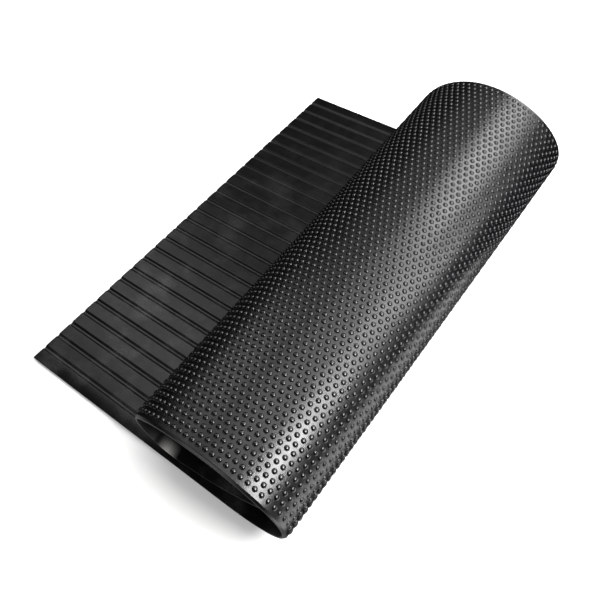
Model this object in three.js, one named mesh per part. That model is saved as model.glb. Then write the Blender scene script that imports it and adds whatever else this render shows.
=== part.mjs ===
import * as THREE from 'three';

// A rubber stall mat lying on the floor, grooved face up, with one end rolled back over itself.
// Millimetres, +Z up. X runs along the mat's length, Y across its width, the floor is Z = 0.

// The moulded sheet
const MAT_LENGTH = 1830;
const MAT_WIDTH = 1220;
const SHEET_THICKNESS = 9;

// The studded face, which lies outside on the roll. The field of studs is one raised pad here,
// inside a plain margin, and the edge of this face is bevelled all round.
const STUD_HEIGHT = 3;
const STUD_MARGIN = 12;
const STUD_SHOULDER = 3;
const EDGE_BEVEL = 4;

// The drainage grooves, which run the whole length of the other face. As many fit across it as
// leave a plain land of at least this width at each side.
const GROOVE_SIDE_LAND = 25;
const GROOVE_PITCH = 44.1;
const GROOVE_MOUTH = 13;
const GROOVE_FLOOR = 5;
const GROOVE_DEPTH = 3;

// The roll at its back end, measured over the studs and from its right side
const ROLL_HEIGHT = 278;
const ROLL_WIDTH = 423;
const WAIST_HEIGHT = 127;
const LIFT_OFF = 180;
const CREST_SETBACK = 226;

// The curl at the roll's left side, which comes down to lie on the mat
const CURL_REACH = 90;
const CURL_CLEARANCE = 1.5;

// The roll is wound a little tighter at its front end, so past the crest the sheet slides back
const FRONT_NARROWER = 18;
const FRONT_LOWER = 26;
const FRONT_CREST_SHIFT = 22;
const SLIDE_START = 120;
const SLIDE_SLOPE = 0.042;

// The free end at the roll's front, which sweeps up inside it towards the right side
const FREE_END_GAP = 16;
const FREE_END_HEIGHT = 135;

// How far each bend reaches along its tangents, at the stops round the roll
const EASE_LIFT_OFF = 95;
const EASE_RIGHT = 71;
const EASE_CREST = 109;
const EASE_LEFT = 70;
const EASE_CURL = 50;

// The mesh has this many steps in each bend, and in the free end
const BEND_STEPS = 10;
const FREE_END_STEPS = 4;

const TOTAL_THICKNESS = SHEET_THICKNESS + STUD_HEIGHT;
const MIDDLE = STUD_HEIGHT + SHEET_THICKNESS / 2;
const GROOVE_SPAN = MAT_WIDTH - 2 * GROOVE_SIDE_LAND - GROOVE_MOUTH;
const GROOVE_COUNT = Math.floor(GROOVE_SPAN / GROOVE_PITCH) + 1;

// The middle line of the sheet from lift-off to the free end's resting line, in the XZ plane,
// with X = 0 at the roll's right side. tight is 0 at the back end of the roll, 1 at the front.
function rollCurve(tight) {
  const right = -MIDDLE;
  const left = MIDDLE - ROLL_WIDTH + FRONT_NARROWER * tight;
  const crestX = -CREST_SETBACK + FRONT_CREST_SHIFT * tight;
  const crestZ = ROLL_HEIGHT - MIDDLE - FRONT_LOWER * tight;
  const curlX = left + CURL_REACH;
  const curlZ = TOTAL_THICKNESS + CURL_CLEARANCE + MIDDLE;
  const stops = [
    { at: [-LIFT_OFF, MIDDLE], heading: [1, 0], ease: EASE_LIFT_OFF },
    { at: [right, WAIST_HEIGHT], heading: [0, 1], ease: EASE_RIGHT },
    { at: [crestX, crestZ], heading: [-1, 0], ease: EASE_CREST },
    { at: [left, WAIST_HEIGHT], heading: [0, -1], ease: EASE_LEFT },
    { at: [curlX, curlZ], heading: [1, 0], ease: EASE_CURL },
  ];
  const path = new THREE.CurvePath();
  for (let i = 1; i < stops.length; i++) path.add(bend(stops[i - 1], stops[i]));
  return path;
}

// A quarter turn between two stops, tangent to both headings.
function bend(from, to) {
  const start = new THREE.Vector2(...from.at);
  const end = new THREE.Vector2(...to.at);
  const leave = new THREE.Vector2(...from.heading).multiplyScalar(from.ease).add(start);
  const arrive = new THREE.Vector2(...to.heading).multiplyScalar(-to.ease).add(end);
  return new THREE.CubicBezierCurve(start, leave, arrive, end);
}

const backCurve = rollCurve(0);
const frontCurve = rollCurve(1);
const freeEnd = freeEndArc(frontCurve.getPointAt(1));
const FLAT_LENGTH = MAT_LENGTH - frontCurve.getLength() - freeEnd.length;

// The arc that rises level from the curl to the free end's place at the front of the roll.
function freeEndArc(curl) {
  const across = -TOTAL_THICKNESS - FREE_END_GAP - curl.x;
  const up = FREE_END_HEIGHT - curl.y;
  const radius = (across ** 2 + up ** 2) / (2 * up);
  return { radius, length: radius * 2 * Math.atan2(up, across) };
}

// Place and heading of the middle line at a distance s from the mat's flat end.
function alongMat(curve, s) {
  const rolled = curve.getLength();
  if (s < FLAT_LENGTH) {
    return { x: s - FLAT_LENGTH - LIFT_OFF, z: MIDDLE, heading: 0 };
  }
  if (s < FLAT_LENGTH + rolled) {
    const share = (s - FLAT_LENGTH) / rolled;
    const at = curve.getPointAt(share);
    const tangent = curve.getTangentAt(share);
    return { x: at.x, z: at.y, heading: Math.atan2(tangent.y, tangent.x) };
  }
  const end = curve.getPointAt(1);
  const rise = (s - FLAT_LENGTH - rolled) / freeEnd.radius;
  return {
    x: end.x + freeEnd.radius * Math.sin(rise),
    z: end.y + freeEnd.radius * (1 - Math.cos(rise)),
    heading: rise,
  };
}

// How far the sheet has slid back across its width, from a little past the crest inwards.
function slideBack(s) {
  const crest = FLAT_LENGTH + backCurve.getCurveLengths()[1];
  return SLIDE_SLOPE * Math.max(0, s - crest - SLIDE_START);
}

// A point of the mat: s along it, v across it from the front edge, h up from the stud tips.
function matPoint(s, v, h) {
  const front = alongMat(frontCurve, s);
  const back = alongMat(backCurve, s);
  const share = v / MAT_WIDTH;
  const lift = h - MIDDLE;
  const x = (end) => end.x - lift * Math.sin(end.heading);
  const z = (end) => end.z + lift * Math.cos(end.heading);
  return new THREE.Vector3(
    THREE.MathUtils.lerp(x(front), x(back), share),
    v + slideBack(s),
    THREE.MathUtils.lerp(z(front), z(back), share),
  );
}

// Height of the studded face, at a distance from the nearest edge of the mat.
function studdedFace(fromEdge) {
  if (fromEdge < EDGE_BEVEL) return STUD_HEIGHT + EDGE_BEVEL - fromEdge;
  if (fromEdge <= STUD_MARGIN) return STUD_HEIGHT;
  const shoulder = Math.min(1, (fromEdge - STUD_MARGIN) / STUD_SHOULDER);
  return STUD_HEIGHT * (1 - shoulder);
}

const EDGE_STEPS = [0, EDGE_BEVEL, STUD_MARGIN, STUD_MARGIN + STUD_SHOULDER];
const fromFarEdge = (size) => EDGE_STEPS.map((step) => size - step).reverse();

// Distances along the mat at which the mesh has a rib, one of them at each stop round the roll.
function ribs() {
  const stations = [FLAT_LENGTH];
  for (const quarter of backCurve.curves) {
    const start = stations.at(-1);
    const lengths = quarter.getLengths();
    const step = (lengths.length - 1) / BEND_STEPS;
    for (let i = 1; i <= BEND_STEPS; i++) stations.push(start + lengths[i * step]);
  }
  const curl = stations.at(-1);
  const rest = MAT_LENGTH - STUD_MARGIN - STUD_SHOULDER - curl;
  for (let i = 1; i < FREE_END_STEPS; i++) stations.push(curl + rest * i / FREE_END_STEPS);
  return [...EDGE_STEPS, ...stations, ...fromFarEdge(MAT_LENGTH)];
}

// The outline of the sheet across its width at a rib, as [v, h] pairs in anticlockwise order.
function sectionOutline(s) {
  const endLevel = studdedFace(Math.min(s, MAT_LENGTH - s));
  const across = [...EDGE_STEPS, ...fromFarEdge(MAT_WIDTH)];
  const outline = across.map((v) => {
    const sideLevel = studdedFace(Math.min(v, MAT_WIDTH - v));
    return [v, Math.max(endLevel, sideLevel)];
  });
  outline.push([MAT_WIDTH, TOTAL_THICKNESS]);
  const grooveFloor = TOTAL_THICKNESS - GROOVE_DEPTH;
  const lastGroove = (MAT_WIDTH + (GROOVE_COUNT - 1) * GROOVE_PITCH) / 2;
  for (let i = 0; i < GROOVE_COUNT; i++) {
    const centre = lastGroove - i * GROOVE_PITCH;
    outline.push(
      [centre + GROOVE_MOUTH / 2, TOTAL_THICKNESS],
      [centre + GROOVE_FLOOR / 2, grooveFloor],
      [centre - GROOVE_FLOOR / 2, grooveFloor],
      [centre - GROOVE_MOUTH / 2, TOTAL_THICKNESS],
    );
  }
  outline.push([0, TOTAL_THICKNESS]);
  return outline;
}

// The section swept along the mat, closed at both ends.
function matGeometry() {
  const stations = ribs();
  const sections = stations.map(sectionOutline);
  const points = stations.flatMap((s, i) => sections[i].map(([v, h]) => matPoint(s, v, h)));
  const count = sections[0].length;
  const faces = [];
  for (let i = 1; i < stations.length; i++) {
    for (let j = 0; j < count; j++) {
      const a = (i - 1) * count + j;
      const b = (i - 1) * count + (j + 1) % count;
      faces.push(a, b, b + count, a, b + count, a + count);
    }
  }
  const end = sections[0].map(([v, h]) => new THREE.Vector2(v, h));
  const lastRing = (stations.length - 1) * count;
  for (const [a, b, c] of THREE.ShapeUtils.triangulateShape(end, [])) {
    faces.push(c, b, a, lastRing + a, lastRing + b, lastRing + c);
  }
  const geometry = new THREE.BufferGeometry().setFromPoints(points);
  geometry.setIndex(faces);
  geometry.computeVertexNormals();
  return geometry;
}

// Black vulcanised rubber
const rubber = new THREE.MeshStandardMaterial({ color: 0x2b2b2c, roughness: 0.55, metalness: 0 });

const mat = new THREE.Mesh(matGeometry(), rubber);
mat.name = 'stall_mat';
mat.geometry.computeBoundingBox();
const middle = mat.geometry.boundingBox.getCenter(new THREE.Vector3());
mat.position.set(-middle.x, -middle.y, 0);

const group = new THREE.Group();
group.add(mat);

export default group;
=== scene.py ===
import math

import bpy
import numpy as np
from bpy.props import FloatProperty, IntProperty, PointerProperty, StringProperty
from mathutils import Matrix, Vector


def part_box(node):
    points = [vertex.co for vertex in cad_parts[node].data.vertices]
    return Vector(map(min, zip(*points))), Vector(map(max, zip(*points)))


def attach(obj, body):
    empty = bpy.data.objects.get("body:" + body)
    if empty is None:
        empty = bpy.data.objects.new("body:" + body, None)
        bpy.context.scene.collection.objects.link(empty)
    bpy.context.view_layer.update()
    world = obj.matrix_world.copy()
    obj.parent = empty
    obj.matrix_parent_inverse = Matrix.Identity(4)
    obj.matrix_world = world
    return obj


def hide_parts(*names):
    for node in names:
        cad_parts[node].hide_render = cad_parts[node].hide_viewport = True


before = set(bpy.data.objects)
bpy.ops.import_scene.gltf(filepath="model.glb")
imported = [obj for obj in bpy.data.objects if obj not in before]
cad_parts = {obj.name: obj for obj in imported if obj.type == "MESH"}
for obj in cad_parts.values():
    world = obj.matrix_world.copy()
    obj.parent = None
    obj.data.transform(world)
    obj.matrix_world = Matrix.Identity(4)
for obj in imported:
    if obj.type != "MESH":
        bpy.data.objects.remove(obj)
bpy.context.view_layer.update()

bl_info = {
    "name": "Rubber stall mat",
    "version": (1, 0, 0),
    "blender": (4, 5, 0),
    "location": "3D View > Sidebar > Stall Mat",
    "description": "A grooved and studded rubber mat with one end rolled back, and its studio",
    "category": "Object",
}

MM = 0.001
MAT_LOW = Vector(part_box("stall_mat")[0])


def length(name, description, millimetres):
    """A length property, stored in metres."""
    return FloatProperty(name=name, description=description, default=millimetres * MM,
                         unit="LENGTH", precision=5)


def colour(name, description, value):
    """A colour property, written as an sRGB hex value."""
    return StringProperty(name=name, description=description, default=value)


class StallMatSizes(bpy.types.PropertyGroup):
    """Sizes of the moulded sheet and of the roll, as the CAD model has them."""
    mat_length: length("Mat length", "Along the grooves, laid flat", 1830)
    mat_width: length("Mat width", "Across the grooves", 1220)
    sheet: length("Sheet", "Thickness without the studs", 9)
    stud_height: length("Stud height", "Height of a stud over the sheet", 3)
    edge_bevel: length("Edge bevel", "Bevel round the studded face", 4)
    groove_pitch: length("Groove pitch", "From one groove to the next", 44.1)
    groove_mouth: length("Groove mouth", "Width of a groove at the face", 13)
    groove_floor: length("Groove floor", "Width of a groove at its floor", 5)
    groove_depth: length("Groove depth", "Depth of a groove", 3)
    groove_count: IntProperty(name="Grooves", description="Number of grooves", default=27)
    roll_height: length("Roll height", "Over the studs, at the back end", 278)
    roll_width: length("Roll width", "Over the studs, at the back end", 423)
    waist_height: length("Waist height", "Where the roll is widest", 127)
    lift_off: length("Lift-off", "From the roll's right side to where the sheet leaves the floor", 180)
    crest_setback: length("Crest setback", "From the roll's right side to its crest", 226)
    curl_reach: length("Curl reach", "From the roll's left side to its lowest place", 90)
    curl_clearance: length("Curl clearance", "Between the curl and the flat part", 1.5)
    front_narrower: length("Front narrower", "How much narrower the roll is at its front end", 18)
    front_lower: length("Front lower", "How much lower the roll is at its front end", 26)
    front_crest_shift: length("Front crest shift", "Shift of the crest at the front end", 22)
    slide_start: length("Slide start", "Past the crest, where the sheet begins to slide back", 120)
    slide_slope: FloatProperty(name="Slide slope", description="Slide for each unit past it",
                               default=0.042)
    free_end_gap: length("Free end gap", "From the free end to the roll's right wall", 16)
    free_end_height: length("Free end height", "Height of the free end's middle line", 135)
    ease_lift_off: length("Ease at lift-off", "Reach of the bend along its tangent", 95)
    ease_right: length("Ease at the right", "Reach of the bend along its tangent", 71)
    ease_crest: length("Ease at the crest", "Reach of the bend along its tangent", 109)
    ease_left: length("Ease at the left", "Reach of the bend along its tangent", 70)
    ease_curl: length("Ease at the curl", "Reach of the bend along its tangent", 50)


class StallMatStuds(bpy.types.PropertyGroup):
    """The field of small studs on the other face."""
    pitch: length("Stud pitch", "From stud to stud along the mat", 16.4)
    row_pitch: length("Row pitch", "From one row of studs to the next", 15.8)
    radius: length("Stud radius", "Radius of a stud at its foot", 5.9)
    first: length("First stud", "Least distance from a stud's middle to the mat's end", 15)
    phase: length("Stud phase", "Shift of all studs along the mat", 0)
    rows: IntProperty(name="Rows", description="Number of rows across the mat", default=76)


class StallMatColours(bpy.types.PropertyGroup):
    """Colours of the rubber and of the studio, as sRGB hex values."""
    rubber: colour("Rubber", "Clean black rubber", "#060607")
    # The pale dust colour, which also paints the highlight inside the curl
    dust_and_highlight: colour("Dust", "Pale dust and bloom on the rubber", "#b8b7b4")
    floor: colour("Floor", "Studio floor", "#f4f4f3")


class StallMatStage(bpy.types.PropertyGroup):
    """The camera and the lights."""
    azimuth: FloatProperty(name="Azimuth", description="Camera's bearing round the mat",
                           default=0.727259, unit="ROTATION")
    elevation: FloatProperty(name="Elevation", description="Camera's height angle",
                             default=0.938994, unit="ROTATION")
    roll: FloatProperty(name="Roll", description="Camera's tilt about its view line",
                        default=-0.109998, unit="ROTATION")
    distance: length("Distance", "From the camera to the place it looks at", 1637.5)
    aim_along: length("Aim along", "Place looked at, from the mat's flat end", 449.4)
    aim_across: length("Aim across", "Place looked at, from the mat's front edge", 513.9)
    lens: FloatProperty(name="Lens", description="Focal length in millimetres on a 36 mm sensor",
                        default=38.148)


# Points on the middle line, in each bend and along the flat part
BEND_SAMPLES = 400
FLAT_SAMPLES = 50


class Lay:
    """How the sheet lies in the room: a flat part, four bends round the roll and a free end."""

    def __init__(self, z):
        self.z = z
        self.total = z.sheet + z.stud_height
        self.middle = z.stud_height + z.sheet / 2
        front, back = self.bends(1), self.bends(0)
        self.free_radius, free_length = self.free_end(front[-1])
        rolled = distances(front)[-1]
        self.flat_length = z.mat_length - rolled - free_length
        self.lines = [self.line(front), self.line(back)]
        crest = self.flat_length + distances(back)[2 * (BEND_SAMPLES - 1)]
        self.slide_from = crest + z.slide_start
        self.curl = self.flat_length + rolled
        self.stops = self.flat_length + distances(back)[::BEND_SAMPLES - 1]
        flat_end = -z.lift_off - self.flat_length
        self.corner = (MAT_LOW.x - flat_end, MAT_LOW.y, 0)

    def bends(self, tight):
        """Middle line from lift-off to the curl; tight is 0 at the back end, 1 at the front."""
        z, middle = self.z, self.middle
        left = middle - z.roll_width + z.front_narrower * tight
        crest_x = -z.crest_setback + z.front_crest_shift * tight
        crest_z = z.roll_height - middle - z.front_lower * tight
        curl_z = self.total + z.curl_clearance + middle
        stops = [((-z.lift_off, middle), (1, 0), z.ease_lift_off),
                 ((-middle, z.waist_height), (0, 1), z.ease_right),
                 ((crest_x, crest_z), (-1, 0), z.ease_crest),
                 ((left, z.waist_height), (0, -1), z.ease_left),
                 ((left + z.curl_reach, curl_z), (1, 0), z.ease_curl)]
        line = [np.array([stops[0][0]])]
        t = np.linspace(0, 1, BEND_SAMPLES)[1:, None]
        for (at, heading, ease), (to, onward, easing) in zip(stops, stops[1:]):
            at, to = np.array(at), np.array(to)
            leave = at + ease * np.array(heading)
            arrive = to - easing * np.array(onward)
            line.append((1 - t) ** 3 * at + 3 * (1 - t) ** 2 * t * leave
                        + 3 * (1 - t) * t ** 2 * arrive + t ** 3 * to)
        return np.vstack(line)

    def free_end(self, curl):
        """Radius and length of the arc from the curl to the free end at the front."""
        across = -self.total - self.z.free_end_gap - curl[0]
        up = self.z.free_end_height - curl[1]
        radius = (across ** 2 + up ** 2) / (2 * up)
        return radius, radius * 2 * math.atan2(up, across)

    def line(self, bends):
        """Distance along the mat, x, z, and the sine and cosine of the heading."""
        flat = bends[0] - [self.flat_length, 0]
        end = self.z.mat_length - self.flat_length - distances(bends)[-1]
        rise = np.linspace(0, end / self.free_radius, BEND_SAMPLES)[1:]
        arc = bends[-1] + self.free_radius * np.stack([np.sin(rise), 1 - np.cos(rise)], 1)
        points = np.vstack([np.linspace(flat, bends[0], FLAT_SAMPLES)[:-1], bends, arc])
        s = distances(points)
        tangent = np.gradient(points, s, axis=0)
        tangent /= np.linalg.norm(tangent, axis=1)[:, None]
        return s, points[:, 0], points[:, 1], tangent[:, 1], tangent[:, 0]

    def point(self, s, v, h):
        """Places in the room: s along the mat, v across it, h up from the stud tips."""
        s, v, h = np.broadcast_arrays(s, v, h)
        lift = h - self.middle
        ends = []
        for at, x, z, sine, cosine in self.lines:
            ends.append((np.interp(s, at, x) - lift * np.interp(s, at, sine),
                         np.interp(s, at, z) + lift * np.interp(s, at, cosine)))
        share = v / self.z.mat_width
        x = ends[0][0] * (1 - share) + ends[1][0] * share
        z = ends[0][1] * (1 - share) + ends[1][1] * share
        y = v + self.z.slide_slope * np.maximum(0, s - self.slide_from)
        return np.stack([x, y, z], -1) + self.corner


def distances(points):
    """Distance of each point along a line of points."""
    steps = np.linalg.norm(np.diff(points, axis=0), axis=1)
    return np.concatenate([[0], np.cumsum(steps)])


def mesh_piece(name, points, faces, materials, face_materials=None):
    """A smooth-shaded object from points and a list of arrays of faces, one array per size."""
    mesh = bpy.data.meshes.new(name)
    corners = np.concatenate([np.asarray(f, dtype=np.int32).ravel() for f in faces])
    sizes = np.concatenate([np.full(len(f), len(f[0]), dtype=np.int32) for f in faces])
    mesh.vertices.add(len(points))
    mesh.vertices.foreach_set("co", np.asarray(points, dtype=np.float32).ravel())
    mesh.loops.add(len(corners))
    mesh.loops.foreach_set("vertex_index", corners)
    mesh.polygons.add(len(sizes))
    mesh.polygons.foreach_set("loop_start", np.cumsum(sizes) - sizes)
    for material in materials:
        mesh.materials.append(material)
    if face_materials is not None:
        mesh.polygons.foreach_set("material_index", face_materials)
    mesh.polygons.foreach_set("use_smooth", np.ones(len(sizes), dtype=bool))
    mesh.update(calc_edges=True)
    if mesh.validate():
        raise RuntimeError(f"{name} has faces that are not valid")
    piece = bpy.data.objects.new(name, mesh)
    bpy.context.scene.collection.objects.link(piece)
    return piece


def dress(piece):
    """Makes a piece of the mat ride with it and stand for its CAD node."""
    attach(piece, "root")
    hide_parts("stall_mat")


# Materials

# Each finish of the rubber: its roughness, the share of dust in its clouds and the strength of
# its grain. The grooved face is dull and dusty, the studded face has a clearer sheen, and the
# polished studs each show a small sharp highlight.
FINISHES = {
    "vulcanised_rubber_grooved_face": (0.33, 0.14, 1.0),
    "vulcanised_rubber_studded_face": (0.29, 0.007, 1.0),
    "vulcanised_rubber_polished_studs": (0.2, 0.007, 0.3),
}
# Sizes of the patterns in the rubber, in millimetres
DUST_CLOUDS = 110
DUST_SPECKS = 3
SHEEN_PATCHES = 25
GRAIN = 3.2
WAVES = 45
# Heights of the grain and the waves, and strength of the waves
GRAIN_HEIGHT = 0.22 * MM
WAVE_HEIGHT = 0.8 * MM
WAVE_STRENGTH = 0.5
# Places across the mat between which the pale clouds fade in: none at the first, towards the back, and
# full at the second, towards the front
CLOUDS_NONE_AT = 0.5
CLOUDS_FULL_AT = -0.3
# Clouds in the floor's paint, in millimetres, and how much darker they are
FLOOR_CLOUDS = 400
FLOOR_WEAR = 0.97


def linear(hex_colour):
    """sRGB hex value to a linear RGBA colour."""
    parts = [int(hex_colour[i:i + 2], 16) / 255 for i in (1, 3, 5)]
    return (*(p / 12.92 if p <= 0.04045 else ((p + 0.055) / 1.055) ** 2.4 for p in parts), 1)


def add(tree, kind, inputs=(), **settings):
    """Adds a node; inputs maps its sockets to values or to other nodes' outputs."""
    node = tree.nodes.new("ShaderNode" + kind)
    for key, value in settings.items():
        setattr(node, key, value)
    for socket, value in dict(inputs).items():
        if isinstance(value, bpy.types.NodeSocket):
            tree.links.new(value, node.inputs[socket])
        else:
            node.inputs[socket].default_value = value
    return node


def new_material(name):
    """An empty material with its tree and output node."""
    material = bpy.data.materials.new(name)
    material.use_nodes = True
    material.node_tree.nodes.clear()
    tree = material.node_tree
    return material, tree, add(tree, "OutputMaterial")


def noise(tree, place, millimetres, detail=3.0):
    """A noise pattern whose grains are about this many millimetres across."""
    return add(tree, "TexNoise", {"Vector": place, "Scale": 1 / (millimetres * MM),
                                  "Detail": detail, "Roughness": 0.6}).outputs["Fac"]


def ramp(tree, value, low, high):
    """0 at low, 1 at high, clamped between."""
    return add(tree, "MapRange", {"Value": value, "From Min": low, "From Max": high}).outputs[0]


def product(tree, one, other):
    """Two values multiplied."""
    return add(tree, "Math", {0: one, 1: other}, operation="MULTIPLY").outputs[0]


def moulded_rubber(colours, name):
    """Black vulcanised rubber, pressed in a steel mould: a satin skin with a fine grain that spreads
    highlights, dulled in clouds by pale dust, paler where dust has settled on the groove floors, and
    with a painted highlight inside the curl."""
    roughness, dust_amount, grain_strength = FINISHES[name]
    material, tree, output = new_material(name)
    place = add(tree, "TexCoord").outputs["Object"]
    clouds = ramp(tree, noise(tree, place, DUST_CLOUDS, 4), 0.5, 0.72)
    specks = ramp(tree, noise(tree, place, DUST_SPECKS, 2), 0.42, 0.75)
    across = add(tree, "SeparateXYZ", {0: place}).outputs[1]
    dusty = product(tree, product(tree, clouds, specks), ramp(tree, across, CLOUDS_NONE_AT, CLOUDS_FULL_AT))
    # Pale dust on the groove floors and the painted highlight inside the curl, as the sheet's points
    # carry them
    dust_and_highlight_share = add(tree, "Attribute", attribute_name="groove_dust_and_painted_highlight").outputs["Fac"]
    amount = add(tree, "Math", {0: dusty, 1: dust_amount, 2: dust_and_highlight_share},
                 operation="MULTIPLY_ADD").outputs[0]
    base = add(tree, "Mix", {"Factor": amount, 6: linear(colours.rubber), 7: linear(colours.dust_and_highlight)},
               data_type="RGBA").outputs[2]
    rough = add(tree, "MapRange", {"Value": noise(tree, place, SHEEN_PATCHES), "From Min": 0.3,
                                   "From Max": 0.7, "To Min": roughness - 0.04,
                                   "To Max": roughness + 0.05}).outputs[0]
    grain = add(tree, "Bump", {"Height": noise(tree, place, GRAIN, 2), "Strength": grain_strength,
                               "Distance": GRAIN_HEIGHT}).outputs[0]
    waves = add(tree, "Bump", {"Height": noise(tree, place, WAVES, 1), "Strength": WAVE_STRENGTH,
                               "Distance": WAVE_HEIGHT, "Normal": grain}).outputs[0]
    shader = add(tree, "BsdfPrincipled", {"Base Color": base, "Roughness": rough, "IOR": 1.52,
                                          "Normal": waves})
    tree.links.new(shader.outputs[0], output.inputs[0])
    return material


def painted_floor(colours):
    """Pale painted studio floor: matt, with clouds too faint to draw the eye."""
    material, tree, output = new_material("matt_paint_pale")
    place = add(tree, "TexCoord").outputs["Object"]
    pale = linear(colours.floor)
    worn = (*(FLOOR_WEAR * part for part in pale[:3]), 1)
    base = add(tree, "Mix", {"Factor": noise(tree, place, FLOOR_CLOUDS), 6: pale, 7: worn},
               data_type="RGBA").outputs[2]
    shader = add(tree, "BsdfPrincipled", {"Base Color": base, "Roughness": 0.8})
    tree.links.new(shader.outputs[0], output.inputs[0])
    return material


# The sheet

# Steps of the mesh along the mat
BEND_STEP = 7 * MM
FLAT_STEP = 60 * MM
# Rounding of the moulded corners, and how far the bevel's rounded ends lie inside its sharp ones
EDGE_ROUNDING = 0.4 * MM
EDGE_EASE = 1.25 * EDGE_ROUNDING
GROOVE_ROUNDING = 0.6 * MM
# A rounded corner of the grooved face, as shares of its rounding
CORNER = np.array([0, 0.3, 1])
# The rounded lip of a groove as shares of its rounding, out from the groove and down
LIP = np.array([(2, 0), (0.7, 0), (-0.2, 0.45), (-1, 1)])
# Share of the groove floors that pale dust covers
GROOVE_DUST = 0.015
# Painted highlight inside the curl at its front edge, in the pale dust colour: its strength, its place
# before the curl's stop, and its reach
CURL_PAINTED_HIGHLIGHT = 1.0
CURL_HIGHLIGHT_PLACE = 45 * MM
CURL_HIGHLIGHT_REACH = 28 * MM


def bevel_steps(z):
    """Distances from the edge at which the studded face has a row of points."""
    r, bevel = EDGE_ROUNDING, z.edge_bevel
    return np.array([0, r, bevel - r, bevel + r, bevel + 3 * r])


def studded_level(z, from_edge):
    """Height of the bare studded face over the stud tips, at distances from the edge."""
    bevel = z.edge_bevel
    rise = [bevel - EDGE_ROUNDING / 2, bevel - EDGE_EASE, EDGE_EASE, 0]
    return z.stud_height + np.interp(from_edge, bevel_steps(z)[:4], rise)


def groove_profile(z):
    """Half a groove from its land to its floor: distances from its middle, and depths."""
    lip = LIP * GROOVE_ROUNDING
    top = lip + [z.groove_mouth / 2, 0]
    foot = [z.groove_floor / 2, z.groove_depth] - lip[:0:-1]
    return np.vstack([top, foot]).T


def section(z, total):
    """The sheet's outline across its width: the studded face as v and distance from the nearer
    side, then the side walls and the grooved face as v and h."""
    steps = bevel_steps(z)
    across = np.concatenate([steps, z.mat_width - steps[::-1]])
    from_side = np.minimum(across, z.mat_width - across)
    corner = CORNER * EDGE_ROUNDING
    out, down = groove_profile(z)
    v = [*(z.mat_width - corner)]
    h = [*(total - corner[::-1])]
    first = (z.mat_width - (z.groove_count - 1) * z.groove_pitch) / 2
    for i in reversed(range(z.groove_count)):
        middle = first + i * z.groove_pitch
        v += [*(middle + out), *(middle - out[::-1])]
        h += [*(total - down), *(total - down[::-1])]
    v += [*corner[::-1]]
    h += [*(total - corner)]
    return across, from_side, np.array(v), np.array(h)


def groove_dust_and_painted_highlight(lay, places, across, v, h):
    """Share of the pale colour at each point: settled dust on the groove floors, and a painted
    highlight inside the curl.
    """
    on_floor = lay.total - h > 0.99 * lay.z.groove_depth
    floors = np.concatenate([np.zeros(len(across)), GROOVE_DUST * on_floor])
    # The painted highlight, fading along the mat and in from the front edge
    along = 1 - abs(places - lay.curl + CURL_HIGHLIGHT_PLACE) / CURL_HIGHLIGHT_REACH
    inside = np.concatenate([np.zeros(len(across)), 1 - v / CURL_HIGHLIGHT_REACH])
    return floors + CURL_PAINTED_HIGHLIGHT * np.maximum(along, 0)[:, None] * np.maximum(inside, 0)


def stations(lay):
    """Distances along the mat at which the mesh has a ring."""
    z = lay.z
    steps = bevel_steps(z)
    flat = np.arange(steps[-1] + FLAT_STEP, lay.flat_length, FLAT_STEP)
    bends = []
    last = z.mat_length - steps[-1] - BEND_STEP
    for start, end in zip(lay.stops, [*lay.stops[1:], last]):
        count = max(1, round((end - start) / BEND_STEP))
        bends += list(np.linspace(start, end, count, endpoint=False))
    return np.array([*steps, *flat, *bends, last, *(z.mat_length - steps[::-1])])


class STALLMAT_OT_sheet(bpy.types.Operator):
    """Makes the moulded sheet with its grooves, bevelled edges and roll"""
    bl_idname = "stallmat.sheet"
    bl_label = "Make the sheet"

    def execute(self, context):
        scene = context.scene
        z, colours = scene.stall_mat_sizes, scene.stall_mat_colours
        lay = Lay(z)
        places = stations(lay)
        across, from_side, v, h = section(z, lay.total)
        rings = []
        for s in places:
            from_end = min(s, z.mat_length - s)
            level = np.maximum(studded_level(z, from_side), studded_level(z, from_end))
            rings.append(lay.point(s, np.concatenate([across, v]), np.concatenate([level, h])))
        count = len(rings[0])
        first = np.arange(count)
        after = np.roll(first, -1)
        starts = np.arange(len(rings) - 1)[:, None] * count
        quads = np.stack([starts + first, starts + after, starts + count + after,
                          starts + count + first], -1).reshape(-1, 4)
        last = (len(rings) - 1) * count
        caps = [first[::-1][None], (last + first)[None]]
        studded = np.tile(first < len(across) - 1, len(rings) - 1).astype(np.int32)
        grooved_face = moulded_rubber(colours, "vulcanised_rubber_grooved_face")
        studded_face = moulded_rubber(colours, "vulcanised_rubber_studded_face")
        sheet = mesh_piece("mat_sheet", np.vstack(rings), [quads, *caps],
                           [grooved_face, studded_face], np.concatenate([studded, [0, 0]]))
        # Pale dust on the groove floors and a painted highlight inside the curl
        dust_and_highlight = groove_dust_and_painted_highlight(lay, places, across, v, h).astype(np.float32)
        dust_and_highlight_share = sheet.data.attributes.new("groove_dust_and_painted_highlight", "FLOAT", "POINT")
        dust_and_highlight_share.data.foreach_set("value", dust_and_highlight.ravel())
        dress(sheet)
        return {"FINISHED"}


# The studs

# Rings of a stud from its foot up, as shares of its radius and height, and the sides of a ring
STUD_PROFILE = [(1.02, -0.04), (0.97, 0.18), (0.87, 0.47), (0.7, 0.72), (0.45, 0.92), (0.2, 0.99)]
PLAIN_PROFILE = [(1.0, -0.04), (0.66, 0.85)]
STUD_SIDES = 12
PLAIN_SIDES = 8
# The mat hides its studs up to this far past lift-off
HIDDEN_PAST_LIFT = 60 * MM


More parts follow.
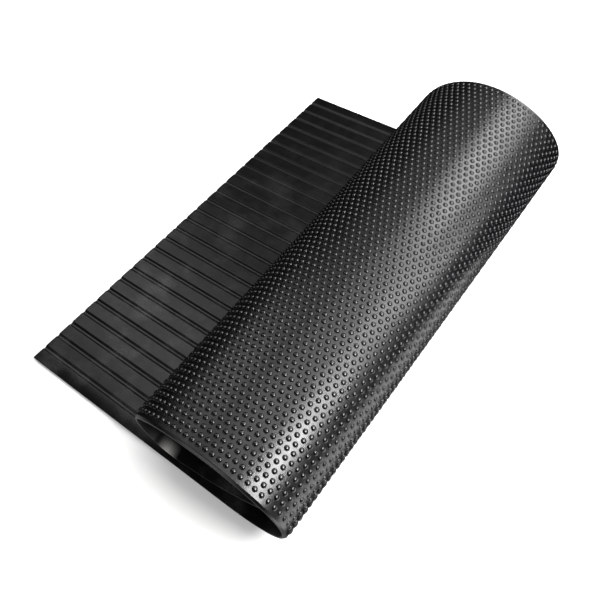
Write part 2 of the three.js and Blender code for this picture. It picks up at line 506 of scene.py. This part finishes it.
def stud_shape(profile, sides, radius, height):
    """Points of one stud about its middle, and its rings and cap as faces."""
    turn = np.arange(sides) * 2 * math.pi / sides
    rings = [np.stack([radius * r * np.cos(turn), radius * r * np.sin(turn),
                       np.full(sides, height * rise)], 1) for r, rise in profile]
    points = np.vstack([*rings, [[0, 0, height]]])
    i = np.arange(sides)
    j = np.roll(i, -1)
    bands = np.arange(len(profile) - 1)[:, None] * sides
    quads = np.stack([bands + j, bands + i, bands + sides + i, bands + sides + j], -1)
    top = (len(profile) - 1) * sides
    cap = np.stack([top + j, top + i, np.full(sides, len(points) - 1)], -1)
    return points, quads.reshape(-1, 4), cap


def stud_middles(z, studs):
    """Places of all studs on the mat, every second row shifted by half a pitch."""
    edge = (z.mat_width - (studs.rows - 1) * studs.row_pitch) / 2
    middles = []
    for row in range(studs.rows):
        start = (studs.phase + (row % 2) * studs.pitch / 2) % studs.pitch
        s = start + np.arange(int(z.mat_length / studs.pitch) + 1) * studs.pitch
        s = s[(s > studs.first) & (s < z.mat_length - studs.first)]
        middles.append(np.stack([s, np.full(len(s), edge + row * studs.row_pitch)], 1))
    return np.vstack(middles)


def stud_piece(name, lay, middles, shape, material):
    """One mesh of many studs, each wrapped onto the sheet where it stands."""
    points, quads, cap = shape
    s = middles[:, 0, None] + points[:, 0]
    v = middles[:, 1, None] + points[:, 1]
    h = lay.z.stud_height - np.broadcast_to(points[:, 2], s.shape)
    starts = (np.arange(len(middles)) * len(points))[:, None, None]
    faces = [(starts + quads).reshape(-1, 4), (starts + cap).reshape(-1, 3)]
    piece = mesh_piece(name, lay.point(s, v, h).reshape(-1, 3), faces, [material])
    dress(piece)


class STALLMAT_OT_studs(bpy.types.Operator):
    """Makes the studs, in full where they show and simpler where the mat hides them"""
    bl_idname = "stallmat.studs"
    bl_label = "Make the studs"

    def execute(self, context):
        scene = context.scene
        z, studs = scene.stall_mat_sizes, scene.stall_mat_studs
        lay = Lay(z)
        rubber = moulded_rubber(scene.stall_mat_colours, "vulcanised_rubber_polished_studs")
        full = stud_shape(STUD_PROFILE, STUD_SIDES, studs.radius, z.stud_height)
        plain = stud_shape(PLAIN_PROFILE, PLAIN_SIDES, studs.radius, z.stud_height)
        middles = stud_middles(z, studs)
        lift, right, crest, left, curl = lay.stops
        parts = [("studs_under_flat", 0, lift + HIDDEN_PAST_LIFT, plain),
                 ("studs_right_side", lift + HIDDEN_PAST_LIFT, (right + crest) / 2, full),
                 ("studs_crest", (right + crest) / 2, (crest + left) / 2, full),
                 ("studs_left_side", (crest + left) / 2, curl, full),
                 ("studs_free_end", curl, z.mat_length, plain)]
        for name, start, end, shape in parts:
            here = middles[(middles[:, 0] >= start) & (middles[:, 0] < end)]
            stud_piece(name, lay, here, shape, rubber)
        return {"FINISHED"}


# The stage

# Middle of the roll
ROLL = (0.2, 0, 0.2)
# Name, place, what it points at, width, length and power in watts
LIGHTS = [
    ("key_softbox", (1.98, 0.05, 2.12), ROLL, 1.0, 1.1, 98),
    ("right_strip", (1.8, 1.35, 1.95), ROLL, 0.5, 1.8, 32),
    ("back_softbox", (0.82, 2.2, 2.1), ROLL, 1.3, 1.1, 45),
    ("top_card", (0.45, 0.8, 2.7), ROLL, 1.5, 2.4, 27),
    ("crest_strip", (-0.35, 0.65, 1.2), (-0.35, 0.65, 0), 0.6, 2.3, 2.6),
    ("left_card", (-1.65, 0.32, 2.2), (-0.1, 0, 0), 0.9, 2.0, 9),
    ("floor_bounce", (1.15, -0.5, 0.01), (1.15, -0.5, 1), 1.2, 1.7, 21),
    ("front_bounce", (-0.05, -0.95, 0.005), (-0.05, -0.95, 1), 1.8, 0.64, 1.5),
    ("rim_card", (-0.15, -1.75, 0.8), (0.1, -0.62, 0.15), 1.0, 0.5, 3),
]
# The studio's air, seen only in the floor and the dust, and half the floor's width
AIR_GREY = (0.5, 0.5, 0.5, 1)
AIR_STRENGTH = 1.5
FLOOR_REACH = 6.0


class STALLMAT_OT_stage(bpy.types.Operator):
    """Makes the floor, the lights and the camera"""
    bl_idname = "stallmat.stage"
    bl_label = "Make the stage"

    def execute(self, context):
        scene = context.scene
        self.make_floor(scene.stall_mat_colours)
        self.make_lights(scene)
        self.make_camera(scene)
        return {"FINISHED"}

    def make_floor(self, colours):
        half = FLOOR_REACH
        corners = [(-half, -half, 0), (half, -half, 0), (half, half, 0), (-half, half, 0)]
        floor = mesh_piece("floor", corners, [[(0, 1, 2, 3)]], [painted_floor(colours)])
        floor.visible_glossy = False

    def make_lights(self, scene):
        for name, place, aim, width, depth, power in LIGHTS:
            lamp = bpy.data.lights.new(name, "AREA")
            lamp.shape, lamp.size, lamp.size_y, lamp.energy = "RECTANGLE", width, depth, power
            light = bpy.data.objects.new(name, lamp)
            light.location = place
            towards = Vector(aim) - Vector(place)
            light.rotation_euler = towards.to_track_quat("-Z", "Y").to_euler()
            light.visible_camera = False
            scene.collection.objects.link(light)
        world = bpy.data.worlds.new("studio_air")
        world.use_nodes = True
        air = world.node_tree.nodes["Background"]
        air.inputs["Color"].default_value = AIR_GREY
        air.inputs["Strength"].default_value = AIR_STRENGTH
        world.cycles_visibility.glossy = False
        scene.world = world
        scene.view_settings.view_transform = "Standard"

    def make_camera(self, scene):
        stage, z = scene.stall_mat_stage, scene.stall_mat_sizes
        a, e, r = stage.azimuth, stage.elevation, stage.roll
        back = Vector((math.sin(a) * math.cos(e), -math.cos(a) * math.cos(e), math.sin(e)))
        level = Vector((math.cos(a), math.sin(a), 0))
        upright = back.cross(level)
        right = math.cos(r) * level + math.sin(r) * upright
        up = -math.sin(r) * level + math.cos(r) * upright
        aim = Vector((MAT_LOW.x + stage.aim_along, MAT_LOW.y + stage.aim_across,
                      z.sheet + z.stud_height))
        camera = bpy.data.objects.new("camera", bpy.data.cameras.new("camera"))
        camera.data.lens, camera.data.sensor_width = stage.lens, 36
        turned = Matrix((right, up, back)).transposed().to_4x4()
        camera.matrix_world = Matrix.Translation(aim + back * stage.distance) @ turned
        scene.collection.objects.link(camera)
        scene.camera = camera


class STALLMAT_PT_panel(bpy.types.Panel):
    """Lists the steps that make the mat and its stage"""
    bl_idname = "STALLMAT_PT_panel"
    bl_label = "Stall Mat"
    bl_space_type = "VIEW_3D"
    bl_region_type = "UI"
    bl_category = "Stall Mat"

    def draw(self, context):
        for step in STEPS:
            self.layout.operator(step.bl_idname)
        for group in ("stall_mat_sizes", "stall_mat_studs", "stall_mat_colours",
                      "stall_mat_stage"):
            settings = getattr(context.scene, group)
            box = self.layout.box()
            for name in settings.__annotations__:
                box.prop(settings, name)


STEPS = (STALLMAT_OT_sheet, STALLMAT_OT_studs, STALLMAT_OT_stage)
GROUPS = {"stall_mat_sizes": StallMatSizes, "stall_mat_studs": StallMatStuds,
          "stall_mat_colours": StallMatColours, "stall_mat_stage": StallMatStage}


def register():
    for made in (*GROUPS.values(), *STEPS, STALLMAT_PT_panel):
        bpy.utils.register_class(made)
    for name, group in GROUPS.items():
        setattr(bpy.types.Scene, name, PointerProperty(type=group))


def unregister():
    for name in GROUPS:
        delattr(bpy.types.Scene, name)
    for made in reversed((*GROUPS.values(), *STEPS, STALLMAT_PT_panel)):
        bpy.utils.unregister_class(made)


def main():
    register()
    bpy.ops.stallmat.sheet()
    bpy.ops.stallmat.studs()
    bpy.ops.stallmat.stage()


if __name__ == "__main__":
    main()
